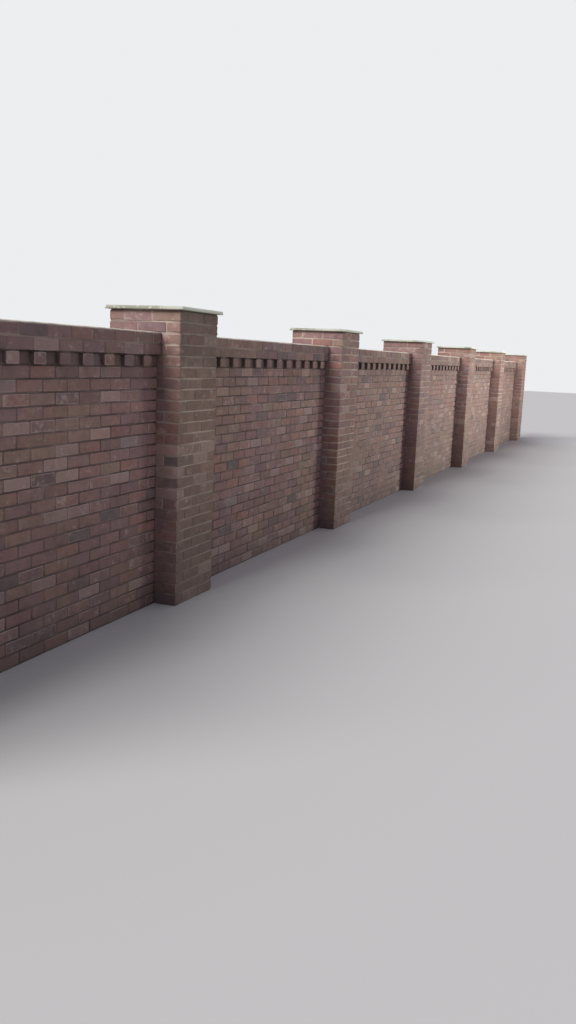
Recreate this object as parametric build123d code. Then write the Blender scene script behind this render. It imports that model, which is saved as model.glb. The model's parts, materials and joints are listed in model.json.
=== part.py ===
"""Brick garden wall: six panels between seven square piers, in millimetres.

The wall runs along X, its road face looks to -Y, and Z is up from the lowest ground line.
The origin is under the middle pier, at the centre of the wall's footprint.
A course is one bed joint with one brick on it, so every brick's top lies on a whole number of courses.
"""
from build123d import *
import os

# One brick and its mortar joint
brick_length = 215.0
brick_width = 102.5
brick_height = 65.0
mortar_joint = 10.0

# Bays counted in stretchers, and piers in headers
bay_count = 6
bay_stretchers = 15
pier_headers = 5

# Courses from the ground up
plain_courses = 22
oversail_courses = 2
pier_courses = 27

# Projecting brickwork below the panel's top, the same on both faces
oversail_projection = 28.0
dentil_headers = 2

# Trowelled mortar on top of each panel
capping_setback = 3.0
capping_edge = 9.0
capping_crown = 15.0

# Stone cap of each pier
cap_bed_thickness = 8.0
cap_bed_setback = 6.0
cap_thickness = 25.0
cap_overhang = 30.0
cap_edge_lean = 8.0
cap_arris = 3.0

# Sizes that follow from the brick
course = brick_height + mortar_joint
stretcher = brick_length + mortar_joint
header = brick_width + mortar_joint
wall_thickness = brick_length
pier_width = pier_headers * header - mortar_joint
bay_pitch = bay_stretchers * stretcher
panel_length = bay_pitch - pier_width
dentil_pitch = dentil_headers * header
dentil_count = int((panel_length - dentil_pitch + brick_width) // dentil_pitch)

# Levels that follow from the courses
plain_top = plain_courses * course
dentil_bottom = plain_top + mortar_joint
oversail_bottom = dentil_bottom + course
oversail_height = oversail_courses * course - mortar_joint
oversail_top = oversail_bottom + oversail_height
pier_top = pier_courses * course
cap_bottom = pier_top + cap_bed_thickness
oversail_depth = wall_thickness + 2 * oversail_projection
cap_width = pier_width + 2 * cap_overhang


def pier_centre(index):
    """X of the centre of a pier, counted from 0 at the wall's -X end."""
    return (index - bay_count / 2) * bay_pitch


def panel_centre(index):
    """X of the centre of a panel, counted from 0 at the wall's -X end."""
    return pier_centre(index) + bay_pitch / 2


def pier_shaft():
    """Square brick shaft from the ground to the top course of the pier."""
    return extrude(Rectangle(pier_width, pier_width), pier_top)


def pier_cap_bed():
    """Mortar bed under the stone cap, struck back from the pier's faces."""
    side = pier_width - 2 * cap_bed_setback
    return Pos(0, 0, pier_top) * extrude(Rectangle(side, side), cap_bed_thickness)


def pier_cap():
    """Thin stone slab with leaning hand-dressed edges and a worn upper arris."""
    slab = extrude(Rectangle(cap_width, cap_width), cap_thickness, taper=cap_edge_lean)
    rim = slab.faces().sort_by(Axis.Z)[-1].edges()
    return Pos(0, 0, cap_bottom) * chamfer(rim, cap_arris)


def panel_wall():
    """Plain brickwork one brick thick, from the ground to the dentil course."""
    return extrude(Rectangle(panel_length, wall_thickness), plain_top)


def dentil_course():
    """Toothed course: projecting headers with open gaps on both faces of a solid core."""
    core_height = oversail_bottom - plain_top
    core = extrude(Rectangle(panel_length, wall_thickness), core_height)
    row = GridLocations(dentil_pitch, 0, dentil_count, 1)
    plan = Sketch() + [place * Rectangle(brick_width, oversail_depth) for place in row]
    teeth = Pos(0, 0, mortar_joint) * extrude(plan, course)
    return Pos(0, 0, plain_top) * (core + teeth)


def oversail_band():
    """Two oversailing courses that close the panel above the dentils."""
    return Pos(0, 0, oversail_bottom) * extrude(Rectangle(panel_length, oversail_depth), oversail_height)


def panel_capping():
    """Low trowelled mortar back along the top of a panel, so that rain runs off to both faces."""
    half = oversail_depth / 2 - capping_setback
    outline = Polyline((half, capping_edge), (half, 0), (-half, 0), (-half, capping_edge))
    back = ThreePointArc((-half, capping_edge), (0, capping_crown), (half, capping_edge))
    section = make_face(Curve() + [outline, back])
    lengthways = Plane(origin=(-panel_length / 2, 0, oversail_top), x_dir=(0, 1, 0), z_dir=(1, 0, 0))
    return extrude(lengthways * section, panel_length)


def build():
    """All pieces by node name, each in its place in the wall."""
    pieces = {}
    for index in range(bay_count + 1):
        place = Pos(pier_centre(index), 0, 0)
        name = f"pier_{index + 1}"
        pieces[f"{name}_shaft"] = place * pier_shaft()
        pieces[f"{name}_cap_bed"] = place * pier_cap_bed()
        pieces[f"{name}_cap"] = place * pier_cap()
    for index in range(bay_count):
        place = Pos(panel_centre(index), 0, 0)
        name = f"panel_{index + 1}"
        pieces[f"{name}_wall"] = place * panel_wall()
        pieces[f"{name}_dentil_course"] = place * dentil_course()
        pieces[f"{name}_oversail_band"] = place * oversail_band()
        pieces[f"{name}_capping"] = place * panel_capping()
    return pieces


def main():
    """Write one STEP file for each piece."""
    os.makedirs("parts", exist_ok=True)
    for name, piece in build().items():
        piece.label = name
        export_step(piece, f"parts/{name}.step")


main()
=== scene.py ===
"""Brick garden wall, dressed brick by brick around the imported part, in metres.

Six panels stand between seven square piers. X runs along the wall, the road face looks to -Y, and Z is up
from the lowest ground line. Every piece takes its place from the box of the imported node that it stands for.
"""
from __future__ import annotations

import json
import logging
import math
from collections.abc import Callable, Iterable, Sequence
from dataclasses import dataclass
from enum import Enum
from functools import cached_property
from typing import ClassVar

import bmesh
import bpy
from mathutils import Matrix, Vector, noise

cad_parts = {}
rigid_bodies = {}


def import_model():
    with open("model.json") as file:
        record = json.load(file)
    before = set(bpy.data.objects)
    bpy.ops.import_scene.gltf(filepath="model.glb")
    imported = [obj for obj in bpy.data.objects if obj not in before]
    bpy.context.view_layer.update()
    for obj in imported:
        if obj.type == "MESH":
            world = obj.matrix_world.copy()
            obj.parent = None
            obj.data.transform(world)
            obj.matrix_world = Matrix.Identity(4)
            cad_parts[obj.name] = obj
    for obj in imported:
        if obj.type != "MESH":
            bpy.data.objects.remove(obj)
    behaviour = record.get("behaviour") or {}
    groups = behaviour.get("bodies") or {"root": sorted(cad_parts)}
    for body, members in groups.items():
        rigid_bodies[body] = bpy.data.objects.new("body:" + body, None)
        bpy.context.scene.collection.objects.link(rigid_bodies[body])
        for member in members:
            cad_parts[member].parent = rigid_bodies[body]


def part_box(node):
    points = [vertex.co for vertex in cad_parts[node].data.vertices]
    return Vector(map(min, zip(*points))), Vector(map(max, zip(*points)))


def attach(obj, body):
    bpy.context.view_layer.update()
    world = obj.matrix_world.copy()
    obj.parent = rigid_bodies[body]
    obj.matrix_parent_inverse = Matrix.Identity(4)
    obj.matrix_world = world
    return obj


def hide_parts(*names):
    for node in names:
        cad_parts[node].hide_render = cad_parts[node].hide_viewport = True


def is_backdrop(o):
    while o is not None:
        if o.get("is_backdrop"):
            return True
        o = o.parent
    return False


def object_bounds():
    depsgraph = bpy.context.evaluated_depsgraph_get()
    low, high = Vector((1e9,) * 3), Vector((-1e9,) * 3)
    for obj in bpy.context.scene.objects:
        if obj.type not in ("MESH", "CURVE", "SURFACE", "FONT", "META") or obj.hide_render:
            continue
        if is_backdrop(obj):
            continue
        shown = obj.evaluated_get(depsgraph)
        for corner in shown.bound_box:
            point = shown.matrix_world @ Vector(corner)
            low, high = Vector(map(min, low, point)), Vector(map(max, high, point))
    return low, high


LOG = logging.getLogger("garden_wall")
BODY = "root"
BAKE_MAP = "OFBake"
TEXTURE_COLOUR = "Color"
TOUCH = 1e-5
ON_EDGE = 0.99
STRETCHER_PARTS = 4
HEADER_PARTS = 2

Colour = tuple[float, float, float]
Point = tuple[float, float, float]
Zone = tuple[float, float]
Wave = tuple[float, float]
Lift = tuple[float, float]
Pattern = tuple[float, ...]
Stops = Sequence[tuple[float, Colour]]


class Slot(Enum):
    """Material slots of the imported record."""

    BRICK = "brickwork"
    MORTAR = "mortar"
    STONE = "cap_stone"


class Side(Enum):
    """Faces of the wall, as quarter turns about Z from the road face."""

    ROAD = 0
    END = 1
    GARDEN = 2
    START = 3

    @property
    def turn(self) -> float:
        """Angle about Z that brings the road face to this one."""
        return self.value * math.pi / 2


def linear(red: int, green: int, blue: int) -> Colour:
    """A screen colour of 0 to 255 a channel in linear light."""
    shares = (channel / 255 for channel in (red, green, blue))
    return tuple(s / 12.92 if s <= 0.04045 else ((s + 0.055) / 1.055) ** 2.4 for s in shares)


def add_object(name: str, data: bpy.types.ID) -> bpy.types.Object:
    """Put a new object into the scene.

    Args:
        name: Its name.
        data: Its mesh, lamp or camera.

    Returns:
        The object, at the origin.
    """
    made = bpy.data.objects.new(name, data)
    bpy.context.scene.collection.objects.link(made)
    return made


def arithmetic(operation: str, reflected: bool = False) -> Callable[[Wire, Operand], Wire]:
    """Make the method behind one arithmetic sign.

    Args:
        operation: The operation of the node that does the sum.
        reflected: Whether the wire stands on the right of the sign.

    Returns:
        The method.
    """

    def method(self: Wire, other: Operand) -> Wire:
        """Join the wire and the other operand, in their order."""
        return self.graph.combine(operation, *((other, self) if reflected else (self, other)))

    return method


class Wire:
    """An output socket that arithmetic can be written with."""

    __add__, __radd__ = arithmetic("ADD"), arithmetic("ADD", reflected=True)
    __sub__, __rsub__ = arithmetic("SUBTRACT"), arithmetic("SUBTRACT", reflected=True)
    __mul__, __rmul__ = arithmetic("MULTIPLY"), arithmetic("MULTIPLY", reflected=True)
    __truediv__, __rtruediv__ = arithmetic("DIVIDE"), arithmetic("DIVIDE", reflected=True)

    def __init__(self, graph: Graph, socket: bpy.types.NodeSocket) -> None:
        """Keep the socket and the graph that new nodes go into."""
        self.graph = graph
        self.socket = socket

    @property
    def is_vector(self) -> bool:
        """Whether the socket carries three numbers."""
        return self.socket.type in {"VECTOR", "RGBA"}


Operand = Wire | float | Colour


class Graph:
    """A node tree under construction."""

    def __init__(self, tree: bpy.types.NodeTree) -> None:
        """Start from an existing tree, whose nodes are cleared."""
        self.tree = tree
        tree.nodes.clear()

    def node(self, kind: str, settings: dict | None = None, inputs: dict | None = None) -> bpy.types.Node:
        """Add a node.

        Args:
            kind: The node's type.
            settings: Its properties, set first; the key stops holds a colour ramp's stops.
            inputs: Values or wires by the name of the socket, or by its place among the sockets in use.

        Returns:
            The new node.
        """
        made = self.tree.nodes.new(kind)
        for name, value in (settings or {}).items():
            if name == "stops":
                self._set_stops(made.color_ramp, value)
            else:
                setattr(made, name, value)
        for key, value in (inputs or {}).items():
            self.feed(self._pick(made.inputs, key), value)
        return made

    def out(self, made: bpy.types.Node, key: str | int = 0) -> Wire:
        """Wrap an output of a node, by its name or its place among the sockets in use."""
        return Wire(self, self._pick(made.outputs, key))

    def wire(self, kind: str, settings: dict | None = None, inputs: dict | None = None,
             key: str | int = 0) -> Wire:
        """Add a node as the method node does, and wrap one of its outputs as out does."""
        return self.out(self.node(kind, settings, inputs), key)

    def feed(self, socket: bpy.types.NodeSocket, value: Operand) -> None:
        """Fill a socket.

        Args:
            socket: The socket.
            value: A wire to link, or the socket's own value.
        """
        if isinstance(value, Wire):
            self.tree.links.new(value.socket, socket)
        elif socket.type == "RGBA":
            socket.default_value = (*value, 1.0)
        elif socket.type == "VECTOR" and isinstance(value, (int, float)):
            socket.default_value = (value, value, value)
        else:
            socket.default_value = value

    def combine(self, operation: str, first: Operand, second: Operand) -> Wire:
        """Join two operands.

        Args:
            operation: The node's operation.
            first: Left operand.
            second: Right operand.

        Returns:
            The result of Vector Math where one operand is a vector, and of Math otherwise.
        """
        pair = (first, second)
        vectors = any(isinstance(x, tuple) or isinstance(x, Wire) and x.is_vector for x in pair)
        kind = "ShaderNodeVectorMath" if vectors else "ShaderNodeMath"
        return self.wire(kind, {"operation": operation}, dict(enumerate(pair)))

    def math(self, operation: str, *operands: Operand) -> Wire:
        """Add a Math node for an operation that has no operator."""
        return self.wire("ShaderNodeMath", {"operation": operation}, dict(enumerate(operands)))

    def ramp(self, value: Wire, low: float, high: float) -> Wire:
        """Smooth step of a value from 0 at low to 1 at high."""
        inputs = {"Value": value, "From Min": low, "From Max": high}
        return self.wire("ShaderNodeMapRange", {"interpolation_type": "SMOOTHSTEP"}, inputs)

    def mix(self, share: Operand, first: Operand, second: Operand, blend: str = "MIX") -> Wire:
        """Blend two colours by a share of the second."""
        settings = {"data_type": "RGBA", "blend_type": blend}
        return self.wire("ShaderNodeMix", settings, {"Factor": share, "A": first, "B": second})

    def noise(self, place: Wire, scale: float, detail: float = 3.0, rough: float = 0.55) -> Wire:
        """Noise of 0 to 1 at a place."""
        inputs = {"Vector": place, "Scale": scale, "Detail": detail, "Roughness": rough}
        return self.wire("ShaderNodeTexNoise", inputs=inputs)

    def split(self, vector: Wire) -> tuple[Wire, Wire, Wire]:
        """The three parts of a vector."""
        parts = self.node("ShaderNodeSeparateXYZ", inputs={0: vector})
        return self.out(parts, "X"), self.out(parts, "Y"), self.out(parts, "Z")

    def vector(self, x: Operand, y: Operand, z: Operand) -> Wire:
        """A vector from its three parts."""
        return self.wire("ShaderNodeCombineXYZ", inputs={"X": x, "Y": y, "Z": z})

    @staticmethod
    def _pick(sockets: Iterable[bpy.types.NodeSocket], key: str | int) -> bpy.types.NodeSocket:
        """The socket of that name, or at that place, among those in use."""
        used = [socket for socket in sockets if socket.enabled]
        return used[key] if isinstance(key, int) else next(s for s in used if s.name == key)

    @staticmethod
    def _set_stops(ramp: bpy.types.ColorRamp, stops: Stops) -> None:
        """Give a colour ramp its stops.

        Args:
            ramp: The ramp, which has two elements.
            stops: Places and colours, in rising order.
        """
        for element, (position, colour) in zip((ramp.elements[0], ramp.elements[1]), (stops[0], stops[-1])):
            element.position = position
            element.color = (*colour, 1.0)
        for position, colour in stops[1:-1]:
            ramp.elements.new(position).color = (*colour, 1.0)


class SurfaceGraph(Graph):
    """The nodes of one finish, ending in a Principled shader."""

    MASONRY_IOR = 1.45

    def __init__(self, name: str) -> None:
        """Make the material and an empty tree.

        Args:
            name: Name of the material.
        """
        self.material = bpy.data.materials.new(name)
        self.material.use_nodes = True
        super().__init__(self.material.node_tree)

    def place(self) -> Wire:
        """Object coordinates."""
        return self.wire("ShaderNodeTexCoord", key="Object")

    def attribute(self, name: str) -> Wire:
        """A number that the mesh carries."""
        settings = {"attribute_type": "GEOMETRY", "attribute_name": name}
        return self.wire("ShaderNodeAttribute", settings, key="Fac")

    def shade(self, inputs: dict[str, Operand]) -> bpy.types.Material:
        """Close the tree.

        Args:
            inputs: Values or wires for the Principled shader.

        Returns:
            The material.
        """
        shader = self.wire("ShaderNodeBsdfPrincipled", inputs=inputs)
        self.node("ShaderNodeOutputMaterial", inputs={"Surface": shader})
        return self.material

    def finish(self, colour: Wire, rough: Wire, height: Wire, bump: float,
               relief: float) -> bpy.types.Material:
        """Close the tree with a bump.

        Args:
            colour: Base colour.
            rough: Roughness.
            height: Height for the bump.
            bump: Strength of the bump.
            relief: Height in metres that the bump stands for.

        Returns:
            The material.
        """
        inputs = {"Strength": bump, "Distance": relief, "Height": height}
        raised = self.wire("ShaderNodeBump", inputs=inputs)
        surface = {"Base Color": colour, "Roughness": rough, "Normal": raised, "IOR": self.MASONRY_IOR}
        return self.shade(surface)


class WallMap:
    """Shares of 0 to 1 that tell one part of the wall from another and say how much dirt, darkening and
    painted shade it takes.

    Each zone is the pair of places, in metres, between which a share goes from 0 to 1. A wave is a noise's
    scale and how far it moves the edge of a zone.
    """

    PIER_FACE: Zone = (0.262, 0.272)
    CLEAR_OF_BAND: Zone = (0.142, 0.152)
    BESIDE_BAND: Zone = (1.72, 1.80)
    ABOVE_BAND: Zone = (1.872, 1.882)
    FIRST_TWO_PIERS: Zone = (-6.2, -6.4)
    SPLASH: Zone = (1.55, 0.35)
    SPLASH_SHARE = 0.34
    SPLASH_WAVE: Wave = (2.5, 0.5)
    SPLASH_DROPS: Wave = (17.0, 0.8)
    SPLASH_FALL = 0.4
    DAMP: Zone = (0.54, 0.10)
    DAMP_SHARE = 0.6
    DAMP_WAVE: Wave = (5.0, 0.25)
    # Darkening towards the foot of every pier's proud faces.
    PIER_FOOT: Zone = (1.10, 0.20)
    PIER_FOOT_SHARE = 0.42
    # Darkening of the first two piers' proud faces, stronger towards their heads.
    PIER_HEAD_DARKENING: Zone = (1.62, 1.74)
    PIER_HEAD_DARKENING_SHARE = 0.32
    FIRST_TWO_SHARE = 0.14
    # Painted shade on the wall below the dentils, on the dentils and on the bands, where their overhang
    # shades them.
    PAINTED_BAND_SHADE: Zone = (1.42, 1.60)
    PAINTED_BAND_SHADE_END: Zone = (1.878, 1.872)
    PAINTED_BAND_SHADE_SHARE = 0.24

    def __init__(self, graph: SurfaceGraph, place: Wire) -> None:
        """Take the place apart.

        Args:
            graph: The nodes of the finish.
            place: Place on the wall.
        """
        self.graph = graph
        self.place = place
        self.along, across, self.height = graph.split(place)
        self.reach = graph.math("ABSOLUTE", across)

    @cached_property
    def proud(self) -> Wire:
        """Share of 1 on the faces of the piers that stand out from the panels."""
        return self.graph.ramp(self.reach, *self.PIER_FACE)

    @cached_property
    def clear_of_band(self) -> Wire:
        """Share of 1 farther out than the faces of the bands."""
        return self.graph.ramp(self.reach, *self.CLEAR_OF_BAND)

    @cached_property
    def first_piers(self) -> Wire:
        """Share of 1 on the proud faces of the first two piers, which are browner and darker."""
        return self.proud * self.graph.ramp(self.along, *self.FIRST_TWO_PIERS)

    @cached_property
    def pier_head(self) -> Wire:
        """Tell the heads of the piers from the rest.

        Returns:
            Share of 1 on the side faces of the piers, where they stand clear of the bands or above them.
        """
        beside = self.clear_of_band * self.graph.ramp(self.height, *self.BESIDE_BAND)
        above = self.graph.ramp(self.height, *self.ABOVE_BAND)
        return self.graph.math("MAXIMUM", beside, above) * (1.0 - self.proud)

    @cached_property
    def dirt(self) -> Wire:
        """Share of dirt, darkening and painted shade: soil near the ground, darker piers, and painted shade
        on and below the bands.
        """
        return self.graph.math("MAXIMUM", self._soil(), self._darkening_and_painted_shade())

    def _soil(self) -> Wire:
        """Work out the soil.

        Returns:
            Share of soil: splashes, and damp at the foot of the wall.
        """
        graph, place, height = self.graph, self.place, self.height
        waves = (self.SPLASH_WAVE, self.SPLASH_DROPS, self.DAMP_WAVE)
        wave, drops, damp_wave = (graph.noise(place, scale) * far for scale, far in waves)
        splash = graph.ramp(height + (wave + drops - self.SPLASH_FALL), *self.SPLASH) * self.SPLASH_SHARE
        damp = graph.ramp(height + damp_wave, *self.DAMP) * self.DAMP_SHARE
        return graph.math("MAXIMUM", splash, damp)

    def _darkening_and_painted_shade(self) -> Wire:
        """Work out the darkening and the painted shade.

        Returns:
            Darkening at the foot of the piers' proud faces and on the first two piers, and painted shade on
            and below the bands.
        """
        graph, height = self.graph, self.height
        # Darker towards the foot of each pier, and darker on the first two piers, most at their heads.
        foot = self.proud * graph.ramp(height, *self.PIER_FOOT) * self.PIER_FOOT_SHARE
        head = graph.ramp(height, *self.PIER_HEAD_DARKENING) * self.PIER_HEAD_DARKENING_SHARE + self.FIRST_TWO_SHARE
        # Painted shade on and below the dentils and bands, where their overhang shades the wall.
        band = graph.ramp(height, *self.PAINTED_BAND_SHADE) * graph.ramp(height, *self.PAINTED_BAND_SHADE_END)
        band = band * (1.0 - self.clear_of_band) * self.PAINTED_BAND_SHADE_SHARE
        return foot + head * self.first_piers + band


@dataclass(frozen=True)
class BrickFinish:
    """Red facing brick of mixed firings, with lime left on the rims, dirt and damp near the ground, and
    painted shade in the recesses of the dentil course and on and below the bands.

    A pattern is a noise's scale, detail and roughness. A zone is where a share goes from 0 to 1. A wave is a
    noise's scale and how far it moves a zone. A lift is a lowest value and what a noise adds to it.
    """

    firings: Stops = (
        (0.00, linear(103, 91, 91)),
        (0.04, linear(114, 93, 92)),
        (0.08, linear(129, 102, 101)),
        (0.32, linear(134, 105, 101)),
        (0.55, linear(137, 106, 99)),
        (0.74, linear(139, 105, 98)),
        (0.86, linear(143, 106, 96)),
        (0.92, linear(137, 108, 98)),
        (1.00, linear(131, 110, 98)),
    )
    brown: Colour = linear(135, 112, 97)
    brown_share: float = 0.65
    mauve: Colour = linear(131, 103, 103)
    mauve_share: float = 0.50
    soot: Colour = linear(84, 68, 66)
    soot_share: float = 0.4
    # Colour of damp and dirt near the ground, also used for the darker piers and the painted shade below the
    # bands.
    damp: Colour = linear(78, 67, 64)
    lime: Colour = linear(186, 168, 161)
    # Colour of the painted shade on the recessed faces of the dentil course.
    grime: Colour = linear(56, 44, 41)
    own_step: float = 37.0
    batch: Pattern = (0.9, 3.0, 0.6)
    fleck: Pattern = (9.0, 3.0, 0.6)
    brown_batch: Zone = (0.50, 0.62)
    mauve_batch: Zone = (0.49, 0.38)
    cloud: Pattern = (13.0, 4.0, 0.6)
    crease: Pattern = (46.0, 3.0, 0.65)
    crease_stretch: Point = (0.5, 0.5, 2.6)
    stain: Pattern = (3.4, 4.0, 0.65)
    scorch: Pattern = (21.0, 2.0)
    scorched: Zone = (0.62, 0.76)
    lime_patch: Pattern = (17.0, 4.0, 0.62)
    patched: Zone = (0.76, 0.96)
    patch_share: float = 0.46
    limed_edge: Zone = (0.95, 1.38)
    edge_share: float = 0.55
    limed_brick: Zone = (0.88, 0.94)
    brick_share: float = 0.24
    bloom: Pattern = (9.0, 4.0, 0.70)
    bloom_stretch: Point = (1.0, 1.0, 1.4)
    bloomed: Zone = (0.57, 0.76)
    bloom_share: float = 0.50
    rubbing: Wave = (60.0, 0.5)
    least_rubbed: float = 0.25
    lime_in_patches: float = 0.30
    # How far dirt and painted shade hide the lime.
    lime_under_dirt: float = 0.9
    fleck_share: float = 0.30
    firing_in_batch: float = 0.03
    base_tone: float = 0.21
    cloud_tone: float = 0.66
    crease_tone: float = 0.46
    stain_tone: float = 0.38
    firing_tone: float = 0.10
    # Least share of the painted shade in recesses, and what the cloud adds to it.
    painted_shade_in_cloud: Lift = (0.75, 0.5)
    grain: Pattern = (210.0, 3.0, 0.7)
    cloud_relief: float = 0.35
    crease_relief: float = 0.55
    grain_relief: float = 0.4
    rough: Lift = (0.82, 0.14)
    bump: float = 0.75
    relief: float = 0.004

    def material(self) -> bpy.types.Material:
        """Build the material.

        Returns:
            The finish of every brick, which reads the attributes tone, firing, lime and rim, and the
            attribute of painted shade on recessed faces.
        """
        graph = SurfaceGraph("facing_brick")
        place = graph.place()
        wall = WallMap(graph, place)
        own = place + graph.attribute("tone") * self.own_step

        cloud = graph.noise(own, *self.cloud)
        crease = graph.noise(own * self.crease_stretch, *self.crease)
        stain = graph.noise(place, *self.stain)
        level = self.base_tone + cloud * self.cloud_tone + crease * self.crease_tone + stain * self.stain_tone
        level = level + graph.attribute("firing") * self.firing_tone
        colour = graph.mix(1.0, self._fired(graph, wall), level, "MULTIPLY")
        scorch = graph.ramp(graph.noise(own, *self.scorch), *self.scorched)
        colour = graph.mix(scorch * self.soot_share, colour, self.soot)

        # Dirt and damp near the ground, the darker piers, and painted shade on and below the bands.
        colour = graph.mix(wall.dirt, colour, self.damp)
        # Lime shows less under dirt and under painted shade.
        clear_of_dirt_and_shade = 1.0 - wall.dirt * self.lime_under_dirt
        colour = graph.mix(self._limed(graph, place, own) * clear_of_dirt_and_shade, colour, self.lime)
        # Painted shade on the recessed faces of the dentil course, carried by the mesh and broken up by the
        # cloud.
        least, clouded = self.painted_shade_in_cloud
        colour = graph.mix(graph.attribute("grime") * (least + cloud * clouded), colour, self.grime)

        grain = graph.noise(own, *self.grain)
        height = cloud * self.cloud_relief + crease * self.crease_relief + grain * self.grain_relief
        return graph.finish(colour, self.rough[0] + grain * self.rough[1], height, self.bump, self.relief)

    def _fired(self, graph: SurfaceGraph, wall: WallMap) -> Wire:
        """Work out the body colour.

        Args:
            graph: The nodes of the finish.
            wall: Shares that tell the parts of the wall apart.

        Returns:
            Each brick's own firing, with brown and mauve batches and browner faces on the first two piers.
        """
        body = graph.wire("ShaderNodeValToRGB", {"stops": self.firings}, {"Fac": graph.attribute("tone")})
        batch = graph.noise(wall.place, *self.batch) * (1 - self.fleck_share)
        batch = batch + graph.noise(wall.place, *self.fleck) * self.fleck_share
        batch = batch + graph.attribute("firing") * self.firing_in_batch
        body = graph.mix(graph.ramp(batch, *self.brown_batch) * self.brown_share, body, self.brown)
        body = graph.mix(graph.ramp(batch, *self.mauve_batch) * self.mauve_share, body, self.mauve)
        return graph.mix(wall.first_piers * self.brown_share, body, self.brown)

    def _limed(self, graph: SurfaceGraph, place: Wire, own: Wire) -> Wire:
        """Work out where lime shows.

        Args:
            graph: The nodes of the finish.
            place: Place on the wall.
            own: The same place, moved for each brick.

        Returns:
            Share of lime: patches, rubbed edges, a wash over some bricks and bloom across the wall.
        """
        lime = graph.attribute("lime")
        patch = graph.ramp(graph.noise(own, *self.lime_patch) + lime * self.lime_in_patches, *self.patched)
        scale, wander = self.rubbing
        rubbed = graph.attribute("rim") * (self.least_rubbed + lime) + graph.noise(place, scale) * wander
        edge = graph.ramp(rubbed, *self.limed_edge)
        wash = graph.ramp(lime, *self.limed_brick) * self.brick_share
        bloom = graph.noise(place * self.bloom_stretch, *self.bloom)
        bloom = graph.ramp(bloom, *self.bloomed) * self.bloom_share
        spots = graph.math("MAXIMUM", patch * self.patch_share, edge * self.edge_share)
        return graph.math("MAXIMUM", spots, wash + bloom)


@dataclass(frozen=True)
class MortarFinish:
    """Lime and sand mortar, paler where it is fresh and darker where it is damp or raked out."""

    name: str = "joint_mortar"
    dark: Colour = linear(118, 100, 95)
    pale: Colour = linear(160, 142, 134)
    dirt: Colour = linear(84, 69, 66)
    # Colour of damp, also used for the darker piers and the painted shade below the bands.
    damp: Colour = linear(78, 67, 63)
    dirt_share: float = 0.85
    upright_dirt: float = 0.72
    bed_dirt: float = 0.8
    upright_pale: float = 0.6
    sheltered_pale: float = 1.0
    patch_scale: float = 4.5
    patch_detail: float = 4.0
    patch_rough: float = 0.6
    sand: Pattern = (260.0, 2.0, 0.7)
    sand_share: float = 0.3
    bleached: Zone = (0.42, 0.92)
    dirt_cloud: Pattern = (3.1, 4.0)
    cloud_share: float = 0.9
    dirtied: Zone = (1.02, 1.40)
    lumps: Pattern = (70.0, 4.0, 0.65)
    rough: Lift = (0.88, 0.1)
    bump: float = 0.8
    relief: float = 0.004

    def material(self) -> bpy.types.Material:
        """Build the material.

        Returns:
            Sandy mortar, which reads the attribute groove.
        """
        graph = SurfaceGraph(self.name)
        place = graph.place()
        wall = WallMap(graph, place)
        groove = graph.attribute("groove")
        cloud = graph.noise(place, self.patch_scale, self.patch_detail, self.patch_rough)
        sand = graph.noise(place, *self.sand)

        full = graph.math("MAXIMUM", groove, wall.pier_head)
        exposed = graph.math("MAXIMUM", wall.proud, wall.pier_head)
        share = graph.ramp(cloud + sand * self.sand_share, *self.bleached)
        share = share * (self.upright_pale + full * (1.0 - self.upright_pale))
        share = share * (self.sheltered_pale + exposed * (1.0 - self.sheltered_pale))
        colour = graph.mix(share, self.dark, self.pale)

        hollow = self.upright_dirt + groove * (self.bed_dirt - self.upright_dirt)
        dirt = graph.ramp(hollow + graph.noise(place, *self.dirt_cloud) * self.cloud_share, *self.dirtied)
        colour = graph.mix(dirt * self.dirt_share, colour, self.dirt)
        # Dirt and damp near the ground, the darker piers, and painted shade on and below the bands.
        colour = graph.mix(wall.dirt, colour, self.damp)
        height = graph.noise(place, *self.lumps) + sand * self.sand_share
        return graph.finish(colour, self.rough[0] + sand * self.rough[1], height, self.bump, self.relief)


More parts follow.
